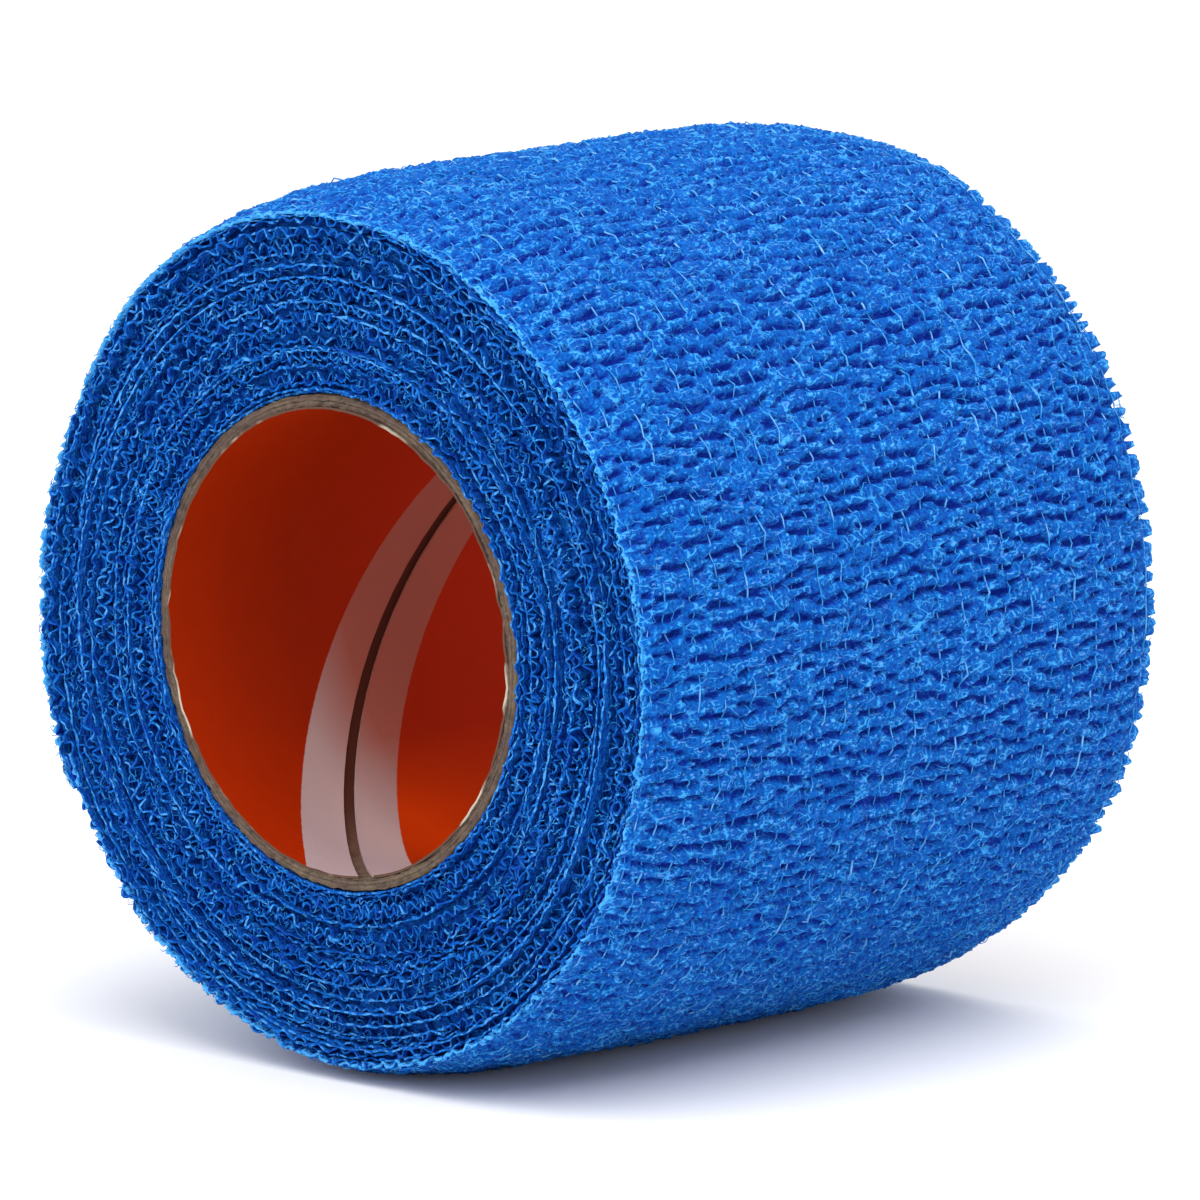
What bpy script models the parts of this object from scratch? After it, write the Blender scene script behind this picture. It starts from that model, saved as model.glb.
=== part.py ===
"""Cohesive bandage roll: crinkled elastic wrap wound on a paper tube with a printed lining.

The roll lies on its side. Its axis runs along Y, its front end faces -Y, and the origin is
at the middle of the small flat on which it rests. Units are metres, +Z is up.
"""
import math

import bmesh
import bpy
from mathutils import Matrix, Vector

# Driving dimensions
ROLL_WIDTH = 0.0500          # width of the bandage, and length of the tube
RIM_RADIUS = 0.0288          # wound radius at each end face, mean of the oval
CROWN = 0.0015               # how much fuller the roll is at mid width than at its rims
CROWN_POWER = 5.0            # high power: a flat middle with the fall close to the rims
OVAL = 0.0003                # half the difference of the oval's two half axes
OVAL_TILT = math.radians(110)    # direction of the oval's long axis, from +X towards +Z
TURN = 0.0008                # thickness of one wound turn
LOOSE_END = math.radians(207)    # where the outer turn ends, low at the back of the roll
LUMP = 0.00006               # height of the slow unevenness of the winding
FLAT_DEPTH = 0.0004          # how far the resting side is pressed flat

TUBE_RADIUS = 0.01675        # outer radius of the board tube
BOARD_WALL = 0.00055         # wall of the board tube
PAPER = 0.0002               # thickness of the printed lining
CLEARANCE = 0.0003           # gap between pieces
SEAM_LEAD = 0.0828           # axial advance of the lining's seam in one turn
SEAM_GAP = 0.0007            # open width of the seam, square to it
SEAM_FRONT = math.radians(-80)   # seam's direction at the front end, from +X towards +Z

ROLL_SEGMENTS = 96
TUBE_SEGMENTS = 64
SEAM_STEPS = 40              # steps of the seam's spiral from end to end
SEAM_OVERRUN = 0.002         # how far the seam's cutter runs past each end
MERGE_DISTANCE = 0.00001
SHARP_EDGE = math.radians(50)    # edges sharper than this aren't shaded smooth
EDGE_ROUND = 0.0002          # rounding between an end face and the wound side
SIDE_STEPS = 12              # steps of the wound side from rim to rim, closer at the rims

WRAP_BLUE = (0.012, 0.125, 0.60, 1.0)
BOARD_BROWN = (0.20, 0.16, 0.12, 1.0)
PRINT_ORANGE = (0.62, 0.055, 0.008, 1.0)

# How far each band of turns stands out of the flat end face. Radius is given as a share
# of the way from the tube to the rim.
END_BANDS = (
    {"share": 0.00, "front": -0.0001, "back": -0.0002},
    {"share": 0.09, "front": -0.0001, "back": 0.0000},
    {"share": 0.18, "front": -0.0005, "back": -0.0004},
    {"share": 0.32, "front": 0.0000, "back": -0.0001},
    {"share": 0.43, "front": -0.0004, "back": -0.0006},
    {"share": 0.56, "front": -0.0001, "back": 0.0000},
    {"share": 0.67, "front": -0.0006, "back": -0.0004},
    {"share": 0.80, "front": -0.0001, "back": -0.0001},
    {"share": 0.89, "front": -0.0005, "back": -0.0006},
    {"share": 1.00, "front": 0.0000, "back": 0.0000},
)
# Slow waves round the winding: how many round, how they change along it, and their phase.
LUMP_WAVES = (
    {"round": 3, "along": 40.0, "phase": 0.4},
    {"round": 7, "along": -95.0, "phase": 1.9},
    {"round": 11, "along": 130.0, "phase": 4.1},
)


def clear_scene():
    for obj in list(bpy.data.objects):
        bpy.data.objects.remove(obj, do_unlink=True)


def new_collection(name):
    collection = bpy.data.collections.new(name)
    bpy.context.scene.collection.children.link(collection)
    return collection


def finish_material(name, colour, roughness):
    material = bpy.data.materials.new(name)
    material.use_nodes = True
    shader = material.node_tree.nodes["Principled BSDF"]
    shader.inputs["Base Color"].default_value = colour
    shader.inputs["Roughness"].default_value = roughness
    shader.inputs["Metallic"].default_value = 0.0
    material.diffuse_color = colour
    return material


def add_part(name, mesh, material, collection, parent):
    obj = bpy.data.objects.new(name, mesh)
    obj.data.materials.append(material)
    obj.parent = parent
    collection.objects.link(obj)
    return obj


def turn_modifier(obj, segments):
    """Spin the object's profile once round its own Z axis."""
    turn = obj.modifiers.new("Turn", "SCREW")
    turn.axis = "Z"
    turn.steps = segments
    turn.render_steps = segments
    turn.use_merge_vertices = True
    turn.merge_threshold = MERGE_DISTANCE
    turn.use_smooth_shade = True
    return turn


def profile_mesh(name, points):
    """A closed outline of (radius, height) points, outer side first and downwards."""
    mesh = bpy.data.meshes.new(name)
    verts = [(radius, 0.0, height) for radius, height in points]
    edges = [(i, (i + 1) % len(verts)) for i in range(len(verts))]
    mesh.from_pydata(verts, edges, [])
    return mesh


def tube_outline(outer, inner, half):
    """Section of a tube wall or bar, as profile_mesh takes it."""
    return [(outer, half), (outer, -half), (inner, -half), (inner, half)]


def baked_mesh(guide):
    """The guide's evaluated shape as a plain mesh. The guide itself is removed."""
    mesh = bpy.data.meshes.new_from_object(
        guide.evaluated_get(bpy.context.evaluated_depsgraph_get())
    )
    bpy.data.objects.remove(guide, do_unlink=True)
    return mesh


def crown_radius(height):
    share = abs(height) / (ROLL_WIDTH / 2)
    return RIM_RADIUS + CROWN * (1.0 - share ** CROWN_POWER)


def wound_profile():
    """Half section of the wound bandage, with its bands of turns on both end faces."""
    bore = TUBE_RADIUS + CLEARANCE
    half = ROLL_WIDTH / 2
    reach = RIM_RADIUS - EDGE_ROUND - bore
    spread = math.acos(EDGE_ROUND / half)
    angles = [spread * (1 - 2 * step / SIDE_STEPS) for step in range(SIDE_STEPS + 1)]
    side = [(crown_radius(half * math.sin(angle)), half * math.sin(angle)) for angle in angles]
    top = [(bore + reach * band["share"], half + band["front"]) for band in END_BANDS]
    bottom = [(bore + reach * band["share"], -half - band["back"]) for band in END_BANDS]
    return side + list(reversed(bottom)) + top


def winding_offset(angle, height):
    """How far the wound surface lies from a plain round one, in direction angle."""
    since_end = (angle - LOOSE_END) % (2 * math.pi)
    spiral = TURN * (since_end / (2 * math.pi) - 0.5)
    oval = OVAL * math.cos(2 * (angle - OVAL_TILT))
    lumps = sum(
        math.sin(wave["round"] * angle + wave["along"] * height + wave["phase"])
        for wave in LUMP_WAVES
    )
    return spiral + oval + LUMP * lumps


def shape_winding(mesh):
    """Give the turned form its spiral, oval, lumps and pressed resting side."""
    bore = TUBE_RADIUS + CLEARANCE
    for vertex in mesh.vertices:
        x, y, height = vertex.co
        radius = math.hypot(x, y)
        angle = math.atan2(y, x)
        share = max(0.0, (radius - bore) / (RIM_RADIUS - bore))
        moved = radius + winding_offset(angle, height) * min(share, 1.0) ** 2
        vertex.co = Vector((moved * math.cos(angle), moved * math.sin(angle), height))
    low = min(vertex.co.y for vertex in mesh.vertices) + FLAT_DEPTH
    for vertex in mesh.vertices:
        vertex.co.y = max(vertex.co.y, low)


def wound_bandage(collection, parent):
    guide = bpy.data.objects.new("wound_profile", profile_mesh("wound_profile", wound_profile()))
    collection.objects.link(guide)
    turn_modifier(guide, ROLL_SEGMENTS)
    mesh = baked_mesh(guide)
    mesh.name = "bandage_winding"
    shape_winding(mesh)
    mesh.set_sharp_from_angle(angle=SHARP_EDGE)
    add_part("bandage_winding", mesh, finish_material("Blue crepe", WRAP_BLUE, 0.85),
             collection, parent)


def board_tube(collection, parent):
    outline = tube_outline(TUBE_RADIUS, TUBE_RADIUS - BOARD_WALL, ROLL_WIDTH / 2)
    tube = add_part("core_board", profile_mesh("core_board", outline),
                    finish_material("Grey board", BOARD_BROWN, 0.9), collection, parent)
    turn_modifier(tube, TUBE_SEGMENTS)


def seam_cutter(collection, parent, inner, outer):
    """A capped spiral bar that runs out past both ends of the lining."""
    slope = SEAM_LEAD / math.hypot(SEAM_LEAD, 2 * math.pi * outer)
    half_slot = SEAM_GAP / math.sqrt(1.0 - slope ** 2) / 2
    start = ROLL_WIDTH / 2 + SEAM_OVERRUN
    outline = tube_outline(outer, inner, half_slot)
    bar = bpy.data.objects.new("seam_bar", profile_mesh("seam_bar", outline))
    collection.objects.link(bar)
    sweep = turn_modifier(bar, SEAM_STEPS)
    sweep.use_merge_vertices = False
    sweep.angle = -2 * math.pi * 2 * start / SEAM_LEAD
    sweep.screw_offset = -2 * start
    mesh = baked_mesh(bar)
    shape = bmesh.new()
    shape.from_mesh(mesh)
    bmesh.ops.holes_fill(shape, edges=[edge for edge in shape.edges if edge.is_boundary])
    bmesh.ops.recalc_face_normals(shape, faces=shape.faces)
    shape.to_mesh(mesh)
    shape.free()
    cutter = bpy.data.objects.new("seam_cutter", mesh)
    cutter.parent = parent
    cutter.location.z = start
    cutter.rotation_euler.z = SEAM_FRONT + 2 * math.pi * SEAM_OVERRUN / SEAM_LEAD
    cutter.hide_render = True
    cutter.display_type = "WIRE"
    collection.objects.link(cutter)
    return cutter


def printed_lining(collection, cutters, parent):
    """Paper laid spirally inside the tube, its two edges a seam gap apart."""
    outer = TUBE_RADIUS - BOARD_WALL - CLEARANCE
    inner = outer - PAPER
    outline = tube_outline(outer, inner, ROLL_WIDTH / 2)
    lining = add_part("core_lining", profile_mesh("core_lining", outline),
                      finish_material("Orange print", PRINT_ORANGE, 0.6), collection, parent)
    turn_modifier(lining, TUBE_SEGMENTS)
    seam = lining.modifiers.new("Seam", "BOOLEAN")
    seam.operation = "DIFFERENCE"
    seam.solver = "EXACT"
    seam.object = seam_cutter(cutters, parent, inner - PAPER, outer + PAPER)


def lay_on_side(axis_empty, collection):
    """Turn the roll's axis to Y and seat its flat on the origin, centred over it."""
    axis_empty.matrix_world = Matrix.Rotation(math.pi / 2, 4, "X")
    bpy.context.view_layer.update()
    corners = [
        obj.matrix_world @ Vector(corner)
        for obj in collection.objects if obj.type == "MESH"
        for corner in obj.bound_box
    ]
    low = [min(corner[axis] for corner in corners) for axis in range(3)]
    high = [max(corner[axis] for corner in corners) for axis in range(3)]
    axis_empty.location = (-(low[0] + high[0]) / 2, -(low[1] + high[1]) / 2, -low[2])
    bpy.context.view_layer.update()


def main():
    clear_scene()
    parts = new_collection("Cohesive bandage roll")
    cutters = new_collection("Cutters")
    roll_axis = bpy.data.objects.new("roll_axis", None)
    parts.objects.link(roll_axis)
    wound_bandage(parts, roll_axis)
    board_tube(parts, roll_axis)
    printed_lining(parts, cutters, roll_axis)
    lay_on_side(roll_axis, parts)


main()
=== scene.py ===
"""Looks of the cohesive bandage roll: crepe turns, threads, fibres, board tube and lining.

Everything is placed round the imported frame, in metres, with the roll's axis along Y and its
front end towards -Y. Angles round the roll run from +X towards +Z.
"""
import math

import bpy
import numpy as np
from bpy.props import FloatProperty, FloatVectorProperty, IntProperty, PointerProperty
from mathutils import Matrix, Vector


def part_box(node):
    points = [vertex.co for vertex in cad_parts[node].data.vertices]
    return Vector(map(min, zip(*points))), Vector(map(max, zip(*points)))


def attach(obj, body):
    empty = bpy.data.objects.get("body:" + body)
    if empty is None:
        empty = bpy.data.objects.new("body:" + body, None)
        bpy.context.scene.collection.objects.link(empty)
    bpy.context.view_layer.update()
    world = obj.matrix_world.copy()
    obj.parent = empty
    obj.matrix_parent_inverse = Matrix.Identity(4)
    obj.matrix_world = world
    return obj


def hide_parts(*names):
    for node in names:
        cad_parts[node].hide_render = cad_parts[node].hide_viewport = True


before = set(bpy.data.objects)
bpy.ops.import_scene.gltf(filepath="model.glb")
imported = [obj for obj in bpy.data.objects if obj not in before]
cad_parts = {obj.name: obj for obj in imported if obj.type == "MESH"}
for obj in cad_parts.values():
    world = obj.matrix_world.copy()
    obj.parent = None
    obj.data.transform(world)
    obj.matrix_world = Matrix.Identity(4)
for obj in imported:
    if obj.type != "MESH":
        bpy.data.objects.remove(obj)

bl_info = {
    "name": "Cohesive bandage roll",
    "version": (1, 0, 0),
    "blender": (4, 5, 0),
    "location": "View3D > Sidebar > Bandage",
    "description": "Dresses a wound crepe bandage on its printed paper tube",
    "category": "Add Mesh",
}

# The frame gives the roll's axis, width and tube.
BOARD_LOW, BOARD_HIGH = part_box("core_board")
AXIS_X = (BOARD_LOW[0] + BOARD_HIGH[0]) / 2
AXIS_Z = (BOARD_LOW[2] + BOARD_HIGH[2]) / 2
TUBE_RADIUS = (BOARD_HIGH[0] - BOARD_LOW[0]) / 2
HALF_WIDTH = (BOARD_HIGH[1] - BOARD_LOW[1]) / 2
MIDDLE = (AXIS_X, 0.0, AXIS_Z)
FRONT, BACK = -1, 1          # the two ends, as signs of Y

# The wound form, as the frame's winding has it.
RIM_RADIUS = 0.0288
CROWN = 0.0015
CROWN_POWER = 5.0
OVAL = 0.0003
OVAL_TILT = math.radians(110)
LOOSE_END = math.radians(207)
LUMP = 0.00006
DENT = 0.0009                # how far the front rim is pushed in on one side
DENT_PLACE = math.radians(155)
DENT_REACH = math.radians(30)
LUMP_WAVES = ((3, 40.0, 0.4), (7, -95.0, 1.9), (11, 130.0, 4.1))
SEAM_FRONT = math.radians(-80)
FULL_TURN = 2 * math.pi


def length(label, about, default):
    return FloatProperty(name=label, description=about, default=default, precision=5,
                         unit="LENGTH")


def colour(label, about, default):
    return FloatVectorProperty(name=label, description=about, default=default, size=4,
                               min=0.0, max=1.0, subtype="COLOR")


class BandageSizes(bpy.types.PropertyGroup):
    """Sizes of the crepe and of the tube's lining."""
    turn: length("Turn", "Thickness of one wound turn", 0.0008)
    ridge_pitch: length("Ridge pitch", "Distance between crepe ridges, round the roll", 0.0013)
    ridge_run: length("Ridge run", "Length over which a ridge holds its line", 0.0024)
    ridge_depth: length("Ridge depth", "Depth of the grooves between ridges", 0.00052)
    thread_pitch: length("Thread pitch", "Distance between elastic threads", 0.0023)
    thread_width: length("Thread width", "Thickness of an elastic thread", 0.00013)
    cell_pitch: length("Cell pitch", "Length of one crinkle at the end faces", 0.00128)
    ply: length("Ply", "Thickness of a ply at its cut edge", 0.00013)
    edge_depth: length("Edge depth", "Depth to which the end faces are open", 0.0014)
    fibre_width: length("Fibre width", "Thickness of a loose fibre", 0.00008)
    fibres: IntProperty(name="Fibres", description="Loose fibres on the outer turn",
                        default=1500, min=0)
    seam_lead: length("Seam lead", "Axial advance of the lining's seam in a turn", 0.0828)
    seam_gap: length("Seam gap", "Open width of the lining's seam", 0.00085)
    seam_margin: length("Seam margin", "Bare paper beside the seam", 0.0031)


class BandageColours(bpy.types.PropertyGroup):
    """Colours of the crepe, the board and the lining."""
    # Groove, crepe and ridge run from dark to pale with the crepe's height: the dark of the
    # grooves is painted shade, and the paler ridges are partly painted light.
    groove: colour("Groove", "Crepe deep in a groove", (0.004, 0.023, 0.29, 1))
    crepe: colour("Crepe", "Crepe on the slopes", (0.004, 0.074, 0.375, 1))
    ridge: colour("Ridge", "Crepe on the ridges", (0.003, 0.125, 0.50, 1))
    edge: colour("Edge", "Crests of the crepe", (0.018, 0.235, 0.625, 1))
    # The cut edges' pale colour is partly the cut fibres' own and partly painted light.
    cut_edge: colour("Cut edge", "Cut edges at the end faces", (0.066, 0.29, 0.68, 1))
    fibre: colour("Fibre", "Threads and fibres", (0.050, 0.345, 0.79, 1))
    board: colour("Board", "Board of the tube", (0.115, 0.076, 0.060, 1))
    board_dark: colour("Dark board", "Specks and ply lines in the board", (0.050, 0.036, 0.028, 1))
    print_ink: colour("Print", "Orange print of the lining", (0.345, 0.020, 0.0004, 1))
    paper: colour("Paper", "Bare paper of the lining", (0.42, 0.32, 0.33, 1))


def sizes():
    return bpy.context.scene.bandage_sizes


def colours():
    return bpy.context.scene.bandage_colours


# ---- materials ----

# Scales of noise are per metre. Lines of fibre: scale, width, and the share of that scale
# that holds along the roll's axis.
STRANDS = ((430.0, 0.011, 1.0), (760.0, 0.017, 0.60), (1500.0, 0.032, 0.45))
STRAND_GATE = 0.47           # noise from which a line shows
# Small puffs: scale, steepness of their creases, share. The ribs lie across the ridges.
PUFFS = ((1000.0, 5.0, 0.12), (3000.0, 4.0, 0.40))
RIBS = (2700.0, 4.5, 0.50)
RIB_STRETCH = (0.32, 1.0, 0.32)
FELT_SCALE, CLOUD_SCALE, PAINTED_GLINT_SCALE = 4200.0, 120.0, 5200.0
TEXTURE_MEAN = 1.20          # taken off, so that the texture darkens as well as lightens
TONE_STOPS = (0.04, 0.38, 0.74, 1.0)     # tones of groove, crepe, ridge and crest
# Painted glints: the pale colour of small specks that stand in for highlights.
PAINTED_GLINT = (0.13, 0.37, 0.86, 1)
THREAD_CREST = (0.21, 0.53, 0.93, 1)
# The outer turn's crest colour, reached on its highest crests and on its cut rims: partly the
# fibres' paler colour, partly painted highlight.
RIM_CREST = (0.07, 0.38, 0.84, 1)

# Board: scales of pulp, specks and stains, and shades beside the colour group's.
PULP_SCALE, SPECK_SCALE, STAIN_SCALE = 3200.0, 1500.0, 260.0
BOARD_STAIN = (0.16, 0.115, 0.075, 1)
BOARD_PULP = (0.22, 0.18, 0.15, 1)
# Painted shade: the board's inner wall is darkened where it shows in the narrow slot of the
# lining's seam.
BOARD_SHADED_INSIDE = (0.085, 0.024, 0.012, 1)  # behind the lining's seam

# Lining: scales of paper fibre, mottle and fraying, and further shades. Light thrown from
# wall to wall takes the print's colour, and it is painted in: ink and paper are painted
# redder deep in the tube, and a painted pool of light brightens the ink low in the tube.
PAPER_SCALE, MOTTLE_SCALE, FRAY_SCALE = 2600.0, 420.0, 170.0
INK_WORN = (0.27, 0.012, 0.0002, 1)
INK_PAINTED_BOUNCE = (0.48, 0.024, 0.0005, 1)
INK_PAINTED_LIGHT_POOL = (0.66, 0.050, 0.001, 1)
PAPER_GREY = (0.34, 0.25, 0.26, 1)
PAPER_FURTHER = (0.49, 0.37, 0.36, 1)
PAPER_PAINTED_BOUNCE = (0.43, 0.15, 0.11, 1)
FRAYED_DARK, FRAYED_PALE = (0.10, 0.055, 0.04, 1), (0.44, 0.39, 0.31, 1)
# Where these shades start along the tube, and how steeply; and the zone low in the tube
# that the painted pool of light brightens.
INK_PAINTED_BOUNCE_FROM, PAPER_FURTHER_FROM = (-0.014, 70.0), (-0.0205, 200.0)
PAPER_PAINTED_BOUNCE_FROM = (-0.0140, 180.0)
PAINTED_POOL_BELOW, PAINTED_POOL_FROM = (0.0197, 240.0), (-0.019, 130.0)


class Value:
    """A node's output in Python arithmetic; each operator adds a Math node."""

    def __init__(self, graph, socket):
        self.graph = graph
        self.socket = socket

    def math(self, operation, *values):
        inputs = dict(enumerate(values))
        return self.graph.node("ShaderNodeMath", {"operation": operation}, inputs)[0]

    def __add__(self, other):
        return self.math("ADD", self, other)

    def __radd__(self, other):
        return self.math("ADD", other, self)

    def __sub__(self, other):
        return self.math("SUBTRACT", self, other)

    def __rsub__(self, other):
        return self.math("SUBTRACT", other, self)

    def __mul__(self, other):
        return self.math("MULTIPLY", self, other)

    def __rmul__(self, other):
        return self.math("MULTIPLY", other, self)

    def __truediv__(self, other):
        return self.math("DIVIDE", self, other)

    def clamp(self):
        return self.math("MINIMUM", self.math("MAXIMUM", self, 0.0), 1.0)

    def size(self):
        return self.math("ABSOLUTE", self)

    def past(self, start, steepness):
        """0 up to start, and rising from there to 1."""
        return ((self - start) * steepness).clamp()


class Graph:
    """One material's nodes. Sockets go by number where a node has several of one name."""

    def __init__(self, name):
        self.material = bpy.data.materials.new(name)
        self.material.use_nodes = True
        self.tree = self.material.node_tree
        self.tree.nodes.clear()

    def node(self, kind, settings=None, inputs=None):
        """Adds a node and returns its outputs, each as a Value."""
        made = self.tree.nodes.new(kind)
        for key, value in (settings or {}).items():
            if key == "stops":
                self.set_stops(made.color_ramp, value)
            else:
                setattr(made, key, value)
        for key, value in (inputs or {}).items():
            if isinstance(value, Value):
                self.tree.links.new(value.socket, made.inputs[key])
            else:
                made.inputs[key].default_value = value
        return [Value(self, socket) for socket in made.outputs]

    def set_stops(self, ramp, stops):
        while len(ramp.elements) < len(stops):
            ramp.elements.new(1.0)
        for element, (position, shade) in zip(ramp.elements, stops):
            element.position = position
            element.color = shade

    def place(self):
        """The point's place in the row frame."""
        return self.node("ShaderNodeTexCoord")[3]

    def stretched(self, place, scale):
        return self.node("ShaderNodeMapping", None, {"Vector": place, "Scale": scale})[0]

    def noise(self, place, scale, detail=2.0, roughness=0.5):
        inputs = {"Vector": place, "Scale": scale, "Detail": detail, "Roughness": roughness}
        return self.node("ShaderNodeTexNoise", None, inputs)[0]

    def kept(self, name):
        """A number that the mesh holds at each point."""
        return self.node("ShaderNodeAttribute", {"attribute_name": name})[2]

    def ramp(self, factor, stops):
        return self.node("ShaderNodeValToRGB", {"stops": stops}, {0: factor})[0]

    def mix(self, factor, first, second):
        inputs = {0: factor, 6: first, 7: second}
        return self.node("ShaderNodeMix", {"data_type": "RGBA"}, inputs)[2]

    def bump(self, height, strength, distance):
        inputs = {"Height": height, "Strength": strength, "Distance": distance}
        return self.node("ShaderNodeBump", None, inputs)[0]

    def finish(self, **inputs):
        """The surface shader. An underscore in a name stands for a space."""
        named = {key.replace("_", " "): value for key, value in inputs.items()}
        shader = self.node("ShaderNodeBsdfPrincipled", None, named)[0]
        self.node("ShaderNodeOutputMaterial", None, {"Surface": shader})
        return self.material


def hair(graph, place, scale, width, lengthways):
    """Thin curled lines, as of fibres lying in the cloth: 1 on a line, 0 off it."""
    swirl = graph.noise(graph.stretched(place, (1.0, lengthways, 1.0)), scale, 1.0, 0.4)
    on_line = (1.0 - (swirl - 0.5).size() / width).clamp()
    return on_line * graph.noise(place, scale * 0.8, 1.0).past(STRAND_GATE, 9.0)


def puff(graph, place, scale, steepness, share):
    """Small rounded swellings with narrow creases between them."""
    return ((graph.noise(place, scale, 0.0) - 0.5).size() * steepness).clamp() * share


def crepe_material(name, contrast, fuzz, base, hairs, foot, crest):
    """Blue non-woven: deep grooves in painted shade, pale crests that are partly painted
    highlight, a felt of fine fibres, painted glints and a faint gloss.

    contrast, fuzz and base set how tone follows the lift kept on the mesh and the texture;
    hairs is the strength of the fibre lines, foot the lift below which all is groove.
    """
    graph = Graph(name)
    shades = colours()
    place = graph.place()
    lift = graph.kept("lift")
    raised = (lift - foot) * (1.0 / (1.0 - 1.8 * foot))
    raised = raised.math("MAXIMUM", raised, 0.0)
    felt = graph.noise(place, FELT_SCALE, 1.0, 0.6)
    cloud = graph.noise(place, CLOUD_SCALE, 2.0)
    lying = graph.stretched(place, (1.0, 0.5, 1.0))
    puffs = sum(puff(graph, lying, *layer) for layer in PUFFS)
    puffs = puffs + puff(graph, graph.stretched(place, RIB_STRETCH), *RIBS)
    strands = sum(hair(graph, place, *line) * hairs for line in STRANDS).clamp()
    # The puffs darken the creases between them in the texture: painted shade.
    texture = puffs * 0.80 + felt * 1.2 + cloud * 0.15 - TEXTURE_MEAN
    # Tone follows the lift, so the ramp paints shade into the grooves and light onto the crests.
    tone = raised * contrast + texture * fuzz + base
    steps = (shades.groove, shades.crepe, shades.ridge, crest)
    tint = graph.ramp(tone.clamp(), list(zip(TONE_STOPS, steps)))
    # Fibre lines show paler the higher they lie: partly their own colour, partly painted
    # highlight.
    tint = graph.mix((strands * (0.16 + raised * 0.85)).clamp(), tint, shades.fibre)
    # Painted glints: pale specks on the raised crepe in place of highlights.
    painted_glint = graph.noise(graph.stretched(place, (1.0, 0.28, 1.0)), PAINTED_GLINT_SCALE, 0.0)
    painted_glint = painted_glint.past(0.69, 16.0) * cloud.past(0.44, 7.0)
    tint = graph.mix((painted_glint * raised * 0.55).clamp(), tint, PAINTED_GLINT)
    relief = puffs * 1.1 + felt * 0.45 + strands * 0.08
    return graph.finish(
        Base_Color=tint,
        Roughness=(0.92 - felt * 0.25 - strands * 0.12).clamp(),
        Normal=graph.bump(relief, 0.9, 0.00015),
        Specular_IOR_Level=0.16, Specular_Tint=(0.18, 0.62, 1.0, 1),
    )


def strand_material(name, crest):
    """Pale elastic and fibre, a little mottled and glossy."""
    graph = Graph(name)
    mottle = graph.noise(graph.place(), 900.0, 2.0)
    tint = graph.mix(mottle.past(0.42, 3.0), colours().edge, crest)
    return graph.finish(Base_Color=tint, Roughness=0.75 - mottle * 0.2,
                        Specular_IOR_Level=0.2, Specular_Tint=(0.3, 0.65, 1.0, 1))


def board_material():
    """Grey-brown board: felted pulp with dark specks and the lines of its plies."""
    graph = Graph("Grey board")
    shades = colours()
    place = graph.place()
    pulp = graph.noise(graph.stretched(place, (1.0, 0.35, 1.0)), PULP_SCALE, 4.0, 0.6)
    specks = graph.noise(place, SPECK_SCALE, 2.0)
    plies = graph.kept("ply_line")
    dark = (plies * 0.75 + (0.52 - specks).clamp() * 2.4 + (0.5 - pulp) * 0.9).clamp()
    stain = graph.noise(place, STAIN_SCALE, 2.0).past(0.4, 3.0)
    tint = graph.mix(stain, shades.board, BOARD_STAIN)
    tint = graph.mix(dark, tint, shades.board_dark)
    tint = graph.mix(pulp.past(0.56, 4.0) * 0.45, tint, BOARD_PULP)
    # Painted shade on the board's inner wall, seen only through the lining's seam.
    tint = graph.mix(graph.kept("inside"), tint, BOARD_SHADED_INSIDE)
    return graph.finish(
        Base_Color=tint, Roughness=(0.96 - pulp * 0.12).clamp(),
        Normal=graph.bump(pulp + specks * 0.5, 0.6, 0.00008), Specular_IOR_Level=0.25,
    )


def lining_material():
    """Orange print on white paper, with bare paper beside the seam and at cut edges, and painted
    light: redder bounce light deep in the tube and a brighter pool of light low in it.
    """
    graph = Graph("Printed paper")
    shades = colours()
    place = graph.place()
    fibres = graph.noise(place, PAPER_SCALE, 3.0, 0.6)
    mottle = graph.noise(place, MOTTLE_SCALE, 2.0)
    ragged = graph.kept("from_seam") + (fibres - 0.5) * 0.00010
    margin = 1.0 - ((ragged - sizes().seam_margin) / 0.00006).clamp()
    torn = graph.kept("cut_end")
    patchy = graph.noise(place, FRAY_SCALE, 3.0, 0.6).past(0.50, 9.0)
    _, along, height = graph.node("ShaderNodeSeparateXYZ", None, {"Vector": place})
    # A painted pool of light low in the tube, where light falls in from above.
    low = ((PAINTED_POOL_BELOW[0] - height) * PAINTED_POOL_BELOW[1]).clamp() * along.past(*PAINTED_POOL_FROM)
    # Painted bounce light reddens the paper deep in the tube, less in the painted pool of light.
    deep = along.past(*PAPER_PAINTED_BOUNCE_FROM) * (1.0 - low * 0.85)
    bare = margin.math("MAXIMUM", margin, torn)
    ink = graph.mix((mottle - 0.3) * 0.5 + fibres * 0.2, shades.print_ink, INK_WORN)
    # Painted bounce light: the ink is redder and brighter deep in the tube.
    ink = graph.mix(along.past(*INK_PAINTED_BOUNCE_FROM), ink, INK_PAINTED_BOUNCE)
    ink = graph.mix(low, ink, INK_PAINTED_LIGHT_POOL)
    paper = graph.mix(fibres * 0.5 + mottle * 0.2, shades.paper, PAPER_GREY)
    paper = graph.mix(along.past(*PAPER_FURTHER_FROM), paper, PAPER_FURTHER)
    paper = graph.mix(deep, paper, PAPER_PAINTED_BOUNCE)
    paper = graph.mix(torn, paper, graph.mix(patchy, FRAYED_DARK, FRAYED_PALE))
    return graph.finish(
        Base_Color=graph.mix(bare, ink, paper),
        Roughness=(0.50 + bare * 0.25 + fibres * 0.18).clamp(),
        Normal=graph.bump(fibres + mottle * 0.6, 0.25, 0.00004),
        Specular_IOR_Level=0.05, Specular_Tint=(1.0, 0.45, 0.25, 1),
    )


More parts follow.
